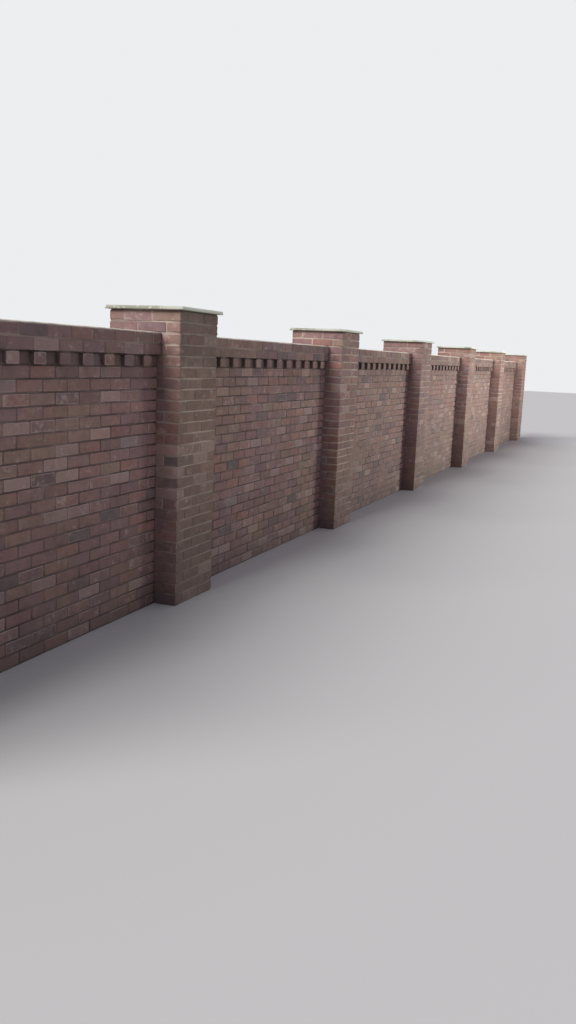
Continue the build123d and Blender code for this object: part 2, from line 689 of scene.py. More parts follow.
@dataclass(frozen=True)
class StoneFinish:
    """Riven grey-green sandstone with darker bedding, pale lichen, painted light on the long edges, and
    painted shade with drip stains along the lower edge.
    """

    body: Colour = linear(180, 181, 165)
    dark: Colour = linear(142, 141, 125)
    # Colour of lichen and of the painted light on the long edges.
    pale: Colour = linear(208, 210, 195)
    lichen_share: float = 0.75
    # Share of painted light on the road and garden edges.
    edge_share: float = 0.9
    # Colour of the painted shade along the lower edge, which also stands for drip stains.
    drip_and_shade: Colour = linear(104, 96, 84)
    drip_and_shade_share: float = 0.5
    drip_and_shade_zone: Zone = (2.043, 2.033)
    painted_light_edge: Zone = (0.290, 0.296)
    bedding: Pattern = (9.0, 5.0, 0.6)
    bedding_stretch: Point = (1.0, 1.0, 9.0)
    cloud: Pattern = (3.2, 4.0, 0.55)
    clouded: Zone = (0.38, 0.66)
    lichen: Pattern = (34.0, 3.0, 0.7)
    grown: Zone = (0.66, 0.78)
    lichen_in_clouds: float = 0.2
    grain: Pattern = (190.0, 3.0, 0.7)
    base_tone: float = 0.84
    bedding_tone: float = 0.2
    grain_tone: float = 0.12
    grain_relief: float = 0.3
    rough: Lift = (0.78, 0.15)
    bump: float = 0.7
    relief: float = 0.005

    def material(self) -> bpy.types.Material:
        """Build the material.

        Returns:
            Sandstone with bedding, clouds and lichen, painted light on the long edges, and painted shade with
            drip stains along the lower edge.
        """
        graph = SurfaceGraph("riven_sandstone")
        place = graph.place()
        wall = WallMap(graph, place)
        bedding = graph.noise(place * self.bedding_stretch, *self.bedding)
        cloud = graph.noise(place, *self.cloud)
        colour = graph.mix(graph.ramp(cloud, *self.clouded), self.body, self.dark)
        lichen = graph.noise(place, *self.lichen) + cloud * self.lichen_in_clouds
        lichen = graph.ramp(lichen, *self.grown)
        # Painted light: the road and garden edges of the cap are made paler.
        edge = graph.ramp(wall.reach, *self.painted_light_edge)
        pale = graph.math("MAXIMUM", lichen * self.lichen_share, edge * self.edge_share)
        colour = graph.mix(pale, colour, self.pale)
        # Painted shade along the lower edge, darker towards the underside, also standing for drip stains.
        colour = graph.mix(graph.ramp(wall.height, *self.drip_and_shade_zone) * self.drip_and_shade_share, colour, self.drip_and_shade)
        grain = graph.noise(place, *self.grain)
        tone = self.base_tone + bedding * self.bedding_tone + grain * self.grain_tone
        colour = graph.mix(1.0, colour, tone, "MULTIPLY")
        height = bedding + grain * self.grain_relief
        return graph.finish(colour, self.rough[0] + grain * self.rough[1], height, self.bump, self.relief)


@dataclass(frozen=True)
class Bond:
    """Sizes from which every course is set out."""

    length: float = 0.215
    width: float = 0.1025
    height: float = 0.065
    joint: float = 0.010

    @property
    def course(self) -> float:
        """Height of a brick with its bed joint."""
        return self.height + self.joint

    @property
    def stretcher(self) -> float:
        """Length of a brick with one joint."""
        return self.length + self.joint

    @property
    def header(self) -> float:
        """Width of a brick with one joint."""
        return self.width + self.joint


@dataclass(frozen=True)
class BrickShape:
    """A brick with worn arrises, its face at y 0 and its body behind it."""

    name: str
    length: float
    depth: float
    height: float
    edge_parts: int
    arris: float = 0.0028
    corner: float = 0.0045
    rim: float = 0.011
    ends_show: bool = False
    # Shares of painted shade on the face and on the sides that run in, for bricks that sit in shade.
    face_painted_shade: float = 0.0
    end_painted_shade: float = 0.0

    RIM_SHARE: ClassVar[float] = 0.93
    ARRIS_SHARE: ClassVar[float] = 0.90
    FACE_SHARE: ClassVar[float] = 0.86
    MAP_MIDDLE: ClassVar[float] = 0.5
    MAP_WIDTH: ClassVar[float] = 0.98
    SHOWN_HALF: ClassVar[Lift] = (0.56, 0.84)
    HIDDEN_HALF: ClassVar[Lift] = (0.06, 0.08)

    @property
    def map_length(self) -> float:
        """Length that the brick takes on the bake map, with its ends folded out where they can be seen."""
        return self.length + 2 * self.depth if self.ends_show else self.length

    def rings(self) -> list[tuple[float, float, float, float, float]]:
        """Set out the rings round the brick.

        Returns:
            Each ring from back to face: inset, depth, rim, and shares of the map across and up.
        """
        if self.ends_show:
            depths = (self.depth, self.rim, self.arris, 0.0)
            across = [(self.length + 2 * y) / self.map_length for y in depths]
            return [
                (self.arris, self.depth, 0.0, across[0], 1.0),
                (0.0, self.rim, 0.0, across[1], self.RIM_SHARE),
                (0.0, self.arris, 1.0, across[2], self.ARRIS_SHARE),
                (self.arris, 0.0, 1.0, across[3], self.FACE_SHARE),
            ]
        return [
            (self.arris, self.depth, 0.0, 1.0, 1.0),
            (0.0, self.arris, 1.0, self.ARRIS_SHARE, self.ARRIS_SHARE),
            (self.arris, 0.0, 1.0, self.FACE_SHARE, self.FACE_SHARE),
        ]

    def outline(self, inset: float) -> list[tuple[float, float]]:
        """Set out the points round the face.

        Args:
            inset: Their distance inside its edge.

        Returns:
            Each point's x and z, counted from the lower left corner.
        """
        across = self.length / 2 - inset
        up = self.height / 2 - inset
        cut = self.corner
        steps = [2 * k / self.edge_parts - 1 for k in range(1, self.edge_parts)]
        lower = [(s * across, -up) for s in steps]
        upper = [(-s * across, up) for s in steps]
        return [
            (-across + cut, -up), *lower, (across - cut, -up), (across, -up + cut), (across, 0.0),
            (across, up - cut), (across - cut, up), *upper, (-across + cut, up), (-across, up - cut),
            (-across, 0.0), (-across, -up + cut),
        ]

    def template(self) -> bpy.types.Object:
        """Build the brick's mesh.

        Returns:
            An object outside the scene, with the attribute rim, an attribute of painted shade, and one cell
            of the bake map.
        """
        border = self.outline(0.0)
        rings = self.rings()
        face_share = rings[-1][3:]
        mesh = bmesh.new()
        rim_layer = mesh.verts.layers.float.new("rim")
        painted_shade_layer = mesh.verts.layers.float.new("grime")
        map_layer = mesh.loops.layers.uv.new(BAKE_MAP)
        places: dict[tuple[int, int], tuple[float, float]] = {}
        loops = []
        for number, (inset, y, worn, across, up) in enumerate([*rings, (self.rim, 0.0, 0.0, *face_share)]):
            shown = self.outline(inset)
            spread = shown if number == len(rings) else border
            loop = []
            for at, (x, z) in enumerate(shown):
                vertex = mesh.verts.new((x, y, z))
                vertex[rim_layer] = worn
                # Painted shade: the sides that run in take the end share, and the face takes the face share.
                vertex[painted_shade_layer] = self.end_painted_shade if y > self.arris else self.face_painted_shade
                loop.append(vertex)
                places[number, at] = (spread[at][0] / self.length * across, spread[at][1] / self.height * up)
            loops.append(loop)
        count = len(border)
        order = {vertex: (number, at) for number, loop in enumerate(loops) for at, vertex in enumerate(loop)}

        def close(corners: Sequence[bmesh.types.BMVert], hidden: bool = False) -> None:
            """Add a face and put it on its cell of the bake map.

            Args:
                corners: Its corners.
                hidden: Whether it lies on the lower half of the cell, as the brick's back does.
            """
            face = mesh.faces.new(corners)
            face.smooth = True
            middle, scale = self.HIDDEN_HALF if hidden else self.SHOWN_HALF
            for corner in face.loops:
                across, up = places[order[corner.vert]]
                corner[map_layer].uv = (self.MAP_MIDDLE + self.MAP_WIDTH * across, middle + scale * up)

        for outer, inner in zip(loops, loops[1:]):
            for at in range(count):
                close((outer[at], outer[(at + 1) % count], inner[(at + 1) % count], inner[at]))
        self._cap(loops[-1], close, front=True)
        self._cap(loops[0], close, front=False)
        self._crease(mesh, order)
        mesh.normal_update()
        data = bpy.data.meshes.new(self.name)
        mesh.to_mesh(data)
        mesh.free()
        return bpy.data.objects.new(self.name, data)

    def _crease(self, mesh: bmesh.types.BMesh, order: dict[bmesh.types.BMVert, tuple[int, int]]) -> None:
        """Mark the edges where the shading breaks: round the arris and along the four long corners.

        Args:
            mesh: The brick under construction.
            order: Ring and place round it of each vertex.
        """
        parts = self.edge_parts
        face_ring = len(self.rings()) - 1
        corners = {0, parts, parts + 1, parts + 3, parts + 4, 2 * parts + 4, 2 * parts + 5, 2 * parts + 7}
        for edge in mesh.edges:
            (ring_a, at_a), (ring_b, at_b) = (order[vertex] for vertex in edge.verts)
            round_face = ring_a == ring_b and ring_a in {0, face_ring - 1, face_ring}
            along_body = ring_a != ring_b and max(ring_a, ring_b) < face_ring and at_a in corners
            edge.smooth = not (round_face or along_body)

    def _cap(self, loop: list[bmesh.types.BMVert], close: Callable[..., None], front: bool) -> None:
        """Close the face or the back with a row of quads and two five-sided ends.

        Args:
            loop: The ring round it.
            close: What adds a face.
            front: Whether it is the face.
        """
        parts = self.edge_parts
        lower = loop[: parts + 1]
        upper = loop[parts + 4 : 2 * parts + 5][::-1]
        right = [lower[-1], loop[parts + 1], loop[parts + 2], loop[parts + 3], upper[-1]]
        left = [upper[0], loop[-3], loop[-2], loop[-1], lower[0]]
        faces = [right, left]
        faces += [[lower[k], lower[k + 1], upper[k + 1], upper[k]] for k in range(parts)]
        for corners in faces:
            close(corners if front else corners[::-1], not front)


@dataclass(frozen=True)
class Run:
    """A field of like bricks on one face, course over course.

    Places along the face are measured from the middle of the piece, to the right as seen from outside.
    """

    shape: BrickShape
    side: Side
    reach: float
    start: float
    pitch: float
    per_course: int
    courses: int
    odd_shift: float = 0.0
    first_course: int = 0

    @property
    def count(self) -> int:
        """Bricks in the run."""
        return self.per_course * self.courses


class LayingGraph(Graph):
    """The Geometry Nodes tree that lays one run of bricks and adds it to the geometry that it is given."""

    INPUTS = {
        "Geometry": "NodeSocketGeometry",
        "Brick": "NodeSocketObject",
        "Centre": "NodeSocketVector",
        "Turn": "NodeSocketFloat",
        "Reach": "NodeSocketFloat",
        "Start": "NodeSocketFloat",
        "Pitch": "NodeSocketFloat",
        "Bricks a course": "NodeSocketInt",
        "Courses": "NodeSocketInt",
        "Course height": "NodeSocketFloat",
        "First course": "NodeSocketInt",
        "Odd shift": "NodeSocketFloat",
        "Unevenness": "NodeSocketFloat",
        "Wear": "NodeSocketFloat",
        "First cell": "NodeSocketInt",
        "Cells across": "NodeSocketInt",
        "Cells up": "NodeSocketInt",
        "Seed": "NodeSocketInt",
        "Finish": "NodeSocketMaterial",
    }
    TILTS = (0.006, 0.005, 0.004)
    INWARD = (0.25, 0.9)
    RISE = 0.9
    WANDER = 1.8
    WANDER_SCALE = 21.0
    CHIP_SCALE = 44.0
    CHIPPED: Zone = (0.54, 0.74)
    OWN_STEP = 91.0

    def __init__(self) -> None:
        """Make the tree and fill it: points, bricks on them, worn surfaces, bake map, finish."""
        super().__init__(bpy.data.node_groups.new("laid_bricks", "GeometryNodeTree"))
        interface = self.tree.interface
        self.sockets = {
            name: interface.new_socket(name, in_out="INPUT", socket_type=kind).identifier
            for name, kind in self.INPUTS.items()
        }
        interface.new_socket("Geometry", in_out="OUTPUT", socket_type="NodeSocketGeometry")
        source = self.node("NodeGroupInput")
        self.given = {name: self.out(source, name) for name in self.INPUTS}
        self.draws = 0
        bricks = self._mapped(self._worn(self._placed(self._points())))
        joined = self.node("GeometryNodeJoinGeometry")
        self.feed(joined.inputs[0], self.given["Geometry"])
        self.feed(joined.inputs[0], bricks)
        inputs = {"Geometry": self.out(joined), "Material": self.given["Finish"]}
        self.node("NodeGroupOutput", inputs={"Geometry": self.wire("GeometryNodeSetMaterial", inputs=inputs)})

    def _random(self, low: float, high: float) -> Wire:
        """Draw a number for each brick.

        Args:
            low: Lowest value.
            high: Highest value.

        Returns:
            A fresh random number.
        """
        self.draws += 1
        inputs = {"Min": low, "Max": high, "Seed": self.given["Seed"] + float(self.draws)}
        return self.wire("FunctionNodeRandomValue", {"data_type": "FLOAT"}, inputs)

    def _points(self) -> Wire:
        """Set out the run.

        Returns:
            One point for each brick, in its place, with the brick's own random values.
        """
        given = self.given
        index = self.wire("GeometryNodeInputIndex")
        per_course = given["Bricks a course"]
        column = self.math("MODULO", index, per_course)
        row = self.math("FLOOR", (index + 0.5) / per_course)
        odd = self.math("MODULO", row + given["First course"], 2.0)
        shift = given["Unevenness"]
        along = given["Start"] + column * given["Pitch"] + odd * given["Odd shift"]
        along = along + shift * self._random(-1.0, 1.0)
        inward = shift * self._random(*self.INWARD) - given["Reach"]
        up = row * given["Course height"] + shift * self._random(-self.RISE, self.RISE)
        local = {"Vector": self.vector(along, inward, up), "Angle": given["Turn"]}
        turned = self.wire("ShaderNodeVectorRotate", {"rotation_type": "Z_AXIS"}, local)
        spots = {"Count": per_course * given["Courses"], "Position": turned + given["Centre"]}
        points = self.wire("GeometryNodePoints", inputs=spots)
        values = {
            "tone": self._random(0.0, 1.0),
            "firing": self._random(-1.0, 1.0),
            "lime": self._random(0.0, 1.0),
            "cell": index + given["First cell"],
        }
        for name, value in values.items():
            points = self._store(points, name, value)
        return points

    def _placed(self, points: Wire) -> Wire:
        """Put a brick on each point.

        Args:
            points: The points.

        Returns:
            Whole bricks, each turned a little.
        """
        tip, lean, turn = (self._random(-tilt, tilt) for tilt in self.TILTS)
        euler = self.vector(tip, lean, self.given["Turn"] + turn)
        turned = self.wire("FunctionNodeEulerToRotation", inputs={"Euler": euler})
        brick = self.wire("GeometryNodeObjectInfo", inputs={"Object": self.given["Brick"]}, key="Geometry")
        inputs = {"Points": points, "Instance": brick, "Rotation": turned}
        copies = self.wire("GeometryNodeInstanceOnPoints", inputs=inputs)
        return self.wire("GeometryNodeRealizeInstances", inputs={"Geometry": copies})

    def _store(self, geometry: Wire, name: str, value: Wire, kind: str = "FLOAT",
               domain: str = "POINT") -> Wire:
        """Keep a value on the geometry.

        Args:
            geometry: The geometry.
            name: Name of the value.
            value: The value.
            kind: Its data type.
            domain: What carries it.

        Returns:
            The geometry with the value.
        """
        settings = {"data_type": kind, "domain": domain}
        inputs = {"Geometry": geometry, "Name": name, "Value": value}
        return self.wire("GeometryNodeStoreNamedAttribute", settings, inputs)

    def _named(self, name: str, kind: str = "FLOAT") -> Wire:
        """Read a value that the geometry carries."""
        return self.wire("GeometryNodeInputNamedAttribute", {"data_type": kind}, {"Name": name})

    def _worn(self, bricks: Wire) -> Wire:
        """Wear the bricks.

        Args:
            bricks: The bricks.

        Returns:
            Bricks whose surface wanders a little and whose arrises are chipped.
        """
        place = self.wire("GeometryNodeInputPosition")
        normal = self.wire("GeometryNodeInputNormal")
        own = {"Vector": place, "W": self._named("tone") * self.OWN_STEP}
        settings = {"noise_dimensions": "4D"}
        wander = self.wire("ShaderNodeTexNoise", settings, {**own, "Scale": self.WANDER_SCALE, "Detail": 1.0},
                           TEXTURE_COLOUR)
        chip = self.wire("ShaderNodeTexNoise", settings, {**own, "Scale": self.CHIP_SCALE, "Detail": 0.0})
        bite = self.ramp(chip, *self.CHIPPED) * self._named("rim") * self.given["Wear"]
        offset = (wander - 0.5) * self.given["Unevenness"] * self.WANDER - normal * bite
        return self.wire("GeometryNodeSetPosition", inputs={"Geometry": bricks, "Offset": offset})

    def _mapped(self, bricks: Wire) -> Wire:
        """Give each brick its own cell of the bake map.

        Args:
            bricks: The bricks, which carry one brick's part of the map.

        Returns:
            The bricks with their cells.
        """
        across, up, _ = self.split(self._named(BAKE_MAP, "FLOAT_VECTOR"))
        cell = self._named("cell")
        columns = self.given["Cells across"]
        row = self.math("FLOOR", (cell + 0.5) / columns)
        column = cell - row * columns
        spot = self.vector((column + across) / columns, (row + up) / self.given["Cells up"], 0.0)
        return self._store(bricks, BAKE_MAP, spot, "FLOAT2", "CORNER")


class Bricklayer:
    """Lays runs of bricks, one on another, and turns them into one piece."""

    SEED_PER_PIECE = 1000
    SEED_PER_RUN = 40

    def __init__(self, bond: Bond, finish: bpy.types.Material, unevenness: float = 0.0009,
                 wear: float = 0.0030) -> None:
        """Make the tree.

        Args:
            bond: Sizes of the brick and the joint.
            finish: Material of the bricks.
            unevenness: Most that a brick is shifted or its surface wanders, in metres.
            wear: Depth of a chipped arris, in metres.
        """
        self.bond = bond
        self.finish = finish
        self.unevenness = unevenness
        self.wear = wear
        self.laying = LayingGraph()
        self.templates: dict[BrickShape, bpy.types.Object] = {}

    def lay(self, name: str, centre: Vector, runs: Sequence[Run], seed: int) -> bpy.types.Object:
        """Lay all runs of one piece.

        Args:
            name: Name of the piece.
            centre: Middle of the piece in plan, at the top of its lowest bed joint.
            runs: Fields of bricks.
            seed: Seed of the piece's random values.

        Returns:
            The piece as a plain mesh.
        """
        total = sum(run.count for run in runs)
        cell_length = max(run.shape.map_length for run in runs)
        across = max(1, round(math.sqrt(total * self.bond.height / cell_length)))
        up = math.ceil(total / across)
        piece = add_object(name, bpy.data.meshes.new(name))
        first_cell = 0
        for number, run in enumerate(runs):
            values = {
                "Brick": self._template(run.shape),
                "Centre": centre + Vector((0.0, 0.0, self.bond.height / 2)),
                "Turn": run.side.turn,
                "Reach": run.reach,
                "Start": run.start,
                "Pitch": run.pitch,
                "Bricks a course": run.per_course,
                "Courses": run.courses,
                "Course height": self.bond.course,
                "First course": run.first_course,
                "Odd shift": run.odd_shift,
                "Unevenness": self.unevenness,
                "Wear": self.wear,
                "First cell": first_cell,
                "Cells across": across,
                "Cells up": up,
                "Seed": seed * self.SEED_PER_PIECE + number * self.SEED_PER_RUN,
                "Finish": self.finish,
            }
            modifier = piece.modifiers.new(f"run_{number}", "NODES")
            modifier.node_group = self.laying.tree
            for key, value in values.items():
                modifier[self.laying.sockets[key]] = value
            first_cell += run.count
        graph = bpy.context.evaluated_depsgraph_get()
        mesh = bpy.data.meshes.new_from_object(piece.evaluated_get(graph), depsgraph=graph)
        piece.modifiers.clear()
        piece.data = mesh
        mesh.name = name
        return piece

    def _template(self, shape: BrickShape) -> bpy.types.Object:
        """Find the object of a brick's shape, or make it the first time.

        Args:
            shape: The shape.

        Returns:
            The object.
        """
        if shape not in self.templates:
            self.templates[shape] = shape.template()
        return self.templates[shape]

    def clear_away(self) -> None:
        """Remove the loose bricks that the runs were copied from."""
        for template in self.templates.values():
            bpy.data.objects.remove(template)
        self.templates.clear()


def even_steps(low: float, high: float, spacing: float) -> list[float]:
    """Even places from low to high, both of them included, about one spacing apart."""
    count = max(1, round((high - low) / spacing))
    return [low + (high - low) * k / count for k in range(count + 1)]


def box_shell(mesh: bmesh.types.BMesh, lines: Sequence[Sequence[float]]) -> list[bmesh.types.BMVert]:
    """Add a closed box whose faces have a grid line at each given place.

    Args:
        mesh: The mesh that gets the box.
        lines: Places of the grid lines along x, y and z.

    Returns:
        The new vertices.
    """
    last = [len(line) - 1 for line in lines]
    corners: dict[tuple[int, ...], bmesh.types.BMVert] = {}

    def corner(index: list[int]) -> bmesh.types.BMVert:
        """Find a vertex, or make it the first time.

        Args:
            index: The grid line along each axis.

        Returns:
            The vertex.
        """
        key = tuple(index)
        if key not in corners:
            corners[key] = mesh.verts.new([line[at] for line, at in zip(lines, key)])
        return corners[key]

    for axis in range(3):
        first, second = (axis + 1) % 3, (axis + 2) % 3
        for end in (0, last[axis]):
            for a in range(last[first]):
                for b in range(last[second]):
                    ring = []
                    for step_a, step_b in ((0, 0), (1, 0), (1, 1), (0, 1)):
                        index = [0, 0, 0]
                        index[axis] = end
                        index[first] = a + step_a
                        index[second] = b + step_b
                        ring.append(corner(index))
                    mesh.faces.new(ring if end else ring[::-1])
    return list(corners.values())


def unit_noise(place: Vector) -> float:
    """Noise of about 0 to 1 at a place."""
    return 0.5 + 0.5 * noise.noise(place)


def new_piece(name: str, mesh: bmesh.types.BMesh, finish: bpy.types.Material,
              smooth: bool) -> bpy.types.Object:
    """Turn a mesh under construction into a piece in the scene.

    Args:
        name: Name of the piece.
        mesh: The mesh, which is freed.
        finish: Its material.
        smooth: Whether its faces are shaded smooth.

    Returns:
        The piece.
    """
    for face in mesh.faces:
        face.smooth = smooth
    mesh.normal_update()
    data = bpy.data.meshes.new(name)
    mesh.to_mesh(data)
    mesh.free()
    data.materials.append(finish)
    return add_object(name, data)


def hand_over(piece: bpy.types.Object, slot: Slot, *nodes: str) -> None:
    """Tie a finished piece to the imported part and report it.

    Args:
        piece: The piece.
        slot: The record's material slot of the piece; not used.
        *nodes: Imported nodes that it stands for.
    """
    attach(piece, BODY)
    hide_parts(*nodes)
    triangles = sum(len(face.vertices) - 2 for face in piece.data.polygons)
    LOG.info("%s: %d triangles, for %s", piece.name, triangles, ", ".join(nodes))


@dataclass
class JointCore:
    """The mortar between bricks: a rough core, raked out at the beds and nearly full at the uprights."""

    finish: bpy.types.Material
    bed_recess: float = 0.010
    upright_recess: float = 0.0045
    roughness: float = 0.50
    lumps: float = 13.0
    groove_lip: float = 0.001
    groove_slope: float = 0.005
    spacing: float = 0.1125
    nearness: float = 5e-4

    def build(self, name: str, boxes: Sequence[tuple[Vector, Vector]], bond: Bond,
              all_round: bool = False) -> bpy.types.Object:
        """Build the joints of one piece.

        Args:
            name: Name of the piece.
            boxes: Lowest and highest corner of each block of brickwork.
            bond: Sizes of the brick and the joint.
            all_round: Whether the ends along X are faces of brickwork too.

        Returns:
            The core as one piece.
        """
        mesh = bmesh.new()
        groove_layer = mesh.verts.layers.float.new("groove")
        axes = (0, 1) if all_round else (1,)
        for low, high in boxes:
            lines = [
                even_steps(low.x, high.x, self.spacing),
                even_steps(low.y, high.y, self.spacing),
                self._levels(low.z, high.z, bond),
            ]
            for vertex in box_shell(mesh, lines):
                in_groove = self.nearness < vertex.co.z % bond.course < bond.joint - self.nearness
                vertex[groove_layer] = float(in_groove)
                depth = self.bed_recess if in_groove else self.upright_recess
                depth *= 1 + self.roughness * noise.noise(vertex.co * self.lumps)
                for axis in axes:
                    if vertex.co[axis] < low[axis] + TOUCH:
                        vertex.co[axis] += depth
                    elif vertex.co[axis] > high[axis] - TOUCH:
                        vertex.co[axis] -= depth
        return new_piece(name, mesh, self.finish, smooth=True)

    def _levels(self, low: float, high: float, bond: Bond) -> list[float]:
        """Set out the core's levels.

        Args:
            low: Its foot.
            high: Its top.
            bond: Sizes of the brick and the joint.

        Returns:
            Both ends, and between them the four lines of the groove along each bed joint.
        """
        inner = (self.groove_lip, bond.joint - self.groove_lip)
        outer = (inner[0] - self.groove_slope, inner[1] + self.groove_slope)
        beds = range(math.floor(low / bond.course), math.ceil(high / bond.course) + 1)
        lines = [bed * bond.course + step for bed in beds for step in (outer[0], *inner, outer[1])]
        return [low, *(line for line in lines if low + self.nearness < line < high - self.nearness), high]


@dataclass
class Brickwork:
    """A stretch of the wall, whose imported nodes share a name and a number."""

    number: int
    bond: Bond
    layer: Bricklayer
    core: JointCore

    NAME: ClassVar[str]

    def node(self, part: str) -> str:
        """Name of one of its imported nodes."""
        return f"{self.NAME}_{self.number}_{part}"

    def dress(self, part: str, label: str, seed: int, level: float, runs: Sequence[Run], core: JointCore,
              boxes: Sequence[tuple[Vector, Vector]] | None = None, all_round: bool = False) -> None:
        """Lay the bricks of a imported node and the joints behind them.

        Args:
            part: The node.
            label: What the two pieces are called after.
            seed: Seed of this kind of brickwork.
            level: Top of its lowest bed joint.
            runs: Fields of bricks.
            core: The joints.
            boxes: Blocks that the joints fill, where they aren't the whole node.
            all_round: Whether the ends along X are faces of brickwork too.
        """
        low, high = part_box(self.node(part))
        middle = (low + high) / 2
        base = Vector((middle.x, middle.y, level))
        bricks = self.layer.lay(self.node(f"{label}_bricks"), base, runs, seed + self.number)
        hand_over(bricks, Slot.BRICK, self.node(part))
        joints = core.build(self.node(f"{label}_joints"), boxes or [(low, high)], self.bond, all_round)
        hand_over(joints, Slot.MORTAR, self.node(part))


@dataclass
class Panel(Brickwork):
    """One panel of the wall: plain courses, a dentil course, two oversailing courses and a mortar capping."""

    pointed: JointCore
    capping_mortar: bpy.types.Material
    slip_depth: float = 0.030
    oversail_brick_depth: float = 0.060
    # Share of painted shade on the sides of the teeth and on the flush headers between them.
    recess_painted_shade: float = 0.55
    dentil_count: int = 12
    capping_spacing: float = 0.02
    capping_stretch: float = 1.6
    capping_edge: float = 0.6
    capping_edge_line: float = 0.55
    edge_wander: float = 0.006
    edge_rounding: float = 0.002
    top_wander: float = 0.003

    NAME: ClassVar[str] = "panel"
    WALL_SEED: ClassVar[int] = 10
    DENTIL_SEED: ClassVar[int] = 30
    BAND_SEED: ClassVar[int] = 50
    TOP_SCALE: ClassVar[float] = 31.0
    EDGE_SCALE: ClassVar[tuple[float, float]] = (23.0, 90.0)
    EDGE_STEP: ClassVar[float] = 7.3

    def _stretchers(self, part: str, courses: int, depth: float, first_course: int) -> list[Run]:
        """Plan the stretchers of both faces and the half bats that close their courses.

        Args:
            part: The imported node.
            courses: How many courses.
            depth: How far each brick runs in.
            first_course: Whether the lowest course counts as even or odd.

        Returns:
            For each face a run of stretchers and a run of bats.
        """
        bond = self.bond
        low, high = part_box(self.node(part))
        half, reach = (high.x - low.x) / 2, (high.y - low.y) / 2
        whole = BrickShape(f"stretcher_{depth}", bond.length, depth, bond.height, STRETCHER_PARTS)
        bat = BrickShape(f"bat_{depth}", bond.width, depth, bond.height, HEADER_PARTS)
        count = int((2 * half - bond.header) // bond.stretcher)
        start = -half + bond.joint + bond.length / 2
        bat_place = half - bond.joint - bond.width / 2
        runs = []
        for side in (Side.ROAD, Side.GARDEN):
            runs.append(Run(whole, side, reach, start, bond.stretcher, count, courses, bond.header,
                            first_course))
            runs.append(Run(bat, side, reach, bat_place, bond.header, 1, courses, -2 * bat_place,
                            first_course))
        return runs

    def wall(self) -> None:
        """Lay the plain courses and their joints."""
        low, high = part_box(self.node("wall"))
        courses = round((high.z - low.z) / self.bond.course)
        runs = self._stretchers("wall", courses, self.slip_depth, 0)
        self.dress("wall", "wall", self.WALL_SEED, low.z + self.bond.joint, runs, self.core)

    def dentils(self) -> None:
        """Lay the toothed course: projecting and flush headers by turns, and a bed on each projecting one."""
        bond = self.bond
        wall_low, wall_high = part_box(self.node("wall"))
        low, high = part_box(self.node("dentil_course"))
        middle = (low + high) / 2
        proud, flush = (high.y - low.y) / 2, (wall_high.y - wall_low.y) / 2
        pitch = 2 * bond.header
        # The teeth carry painted shade on their sides, and the flush headers on their faces and sides.
        tooth = BrickShape("dentil_header", bond.width, self.oversail_brick_depth, bond.height, HEADER_PARTS,
                           ends_show=True, end_painted_shade=self.recess_painted_shade)
        plain = BrickShape("flush_header", bond.width, self.slip_depth, bond.height, HEADER_PARTS,
                           face_painted_shade=self.recess_painted_shade, end_painted_shade=self.recess_painted_shade)
        first = -(self.dentil_count - 1) / 2 * pitch
        runs = []
        for side in (Side.ROAD, Side.GARDEN):
            runs.append(Run(tooth, side, proud, first, pitch, self.dentil_count, 1))
            runs.append(Run(plain, side, flush, first - bond.header, pitch, self.dentil_count + 1, 1))
        boxes = [(Vector((low.x, wall_low.y, low.z)), Vector((high.x, wall_high.y, high.z)))]
        for number in range(self.dentil_count):
            place = middle.x + first + number * pitch
            bed_low = Vector((place - bond.width / 2, low.y, high.z - bond.joint))
            boxes.append((bed_low, Vector((place + bond.width / 2, high.y, high.z))))
        self.dress("dentil_course", "dentil", self.DENTIL_SEED, low.z + bond.joint, runs, self.core, boxes)

    def band(self) -> None:
        """Lay the two oversailing courses and their joints, which are pointed nearly full."""
        low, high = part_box(self.node("oversail_band"))
        courses = math.ceil((high.z - low.z) / self.bond.course)
        runs = self._stretchers("oversail_band", courses, self.oversail_brick_depth, 1)
        self.dress("oversail_band", "band", self.BAND_SEED, low.z, runs, self.pointed)

    def capping(self) -> None:
        """Build the trowelled mortar back on top, with ragged edges and an uneven top."""
        low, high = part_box(self.node("capping"))
        thickness = high.z - low.z
        edge = self.capping_edge * thickness
        lines = [
            even_steps(low.x, high.x, self.capping_spacing),
            even_steps(low.y, high.y, self.capping_spacing * self.capping_stretch),
            [low.z, low.z + edge * self.capping_edge_line, high.z],
        ]
        half, middle = (high.y - low.y) / 2, (low.y + high.y) / 2
        mesh = bmesh.new()
        for vertex in box_shell(mesh, lines):
            place = vertex.co.copy()
            share = (place.y - middle) / half
            level = (place.z - low.z) / thickness
            if level > ON_EDGE:
                crown = edge + (thickness - edge) * (1 - share * share)
                vertex.co.z = low.z + crown - self.top_wander * unit_noise(place * self.TOP_SCALE)
            if abs(share) > ON_EDGE:
                across, up = self.EDGE_SCALE
                spot = Vector((place.x * across, place.z * up, self.number * self.EDGE_STEP))
                wander = unit_noise(spot)
                vertex.co.y -= math.copysign(self.edge_wander * wander + self.edge_rounding * level, share)
        piece = new_piece(self.node("mortar_capping"), mesh, self.capping_mortar, smooth=True)
        hand_over(piece, Slot.MORTAR, self.node("capping"))

    def build(self) -> None:
        """Build every piece of the panel."""
        self.wall()
        self.dentils()
        self.band()
        self.capping()


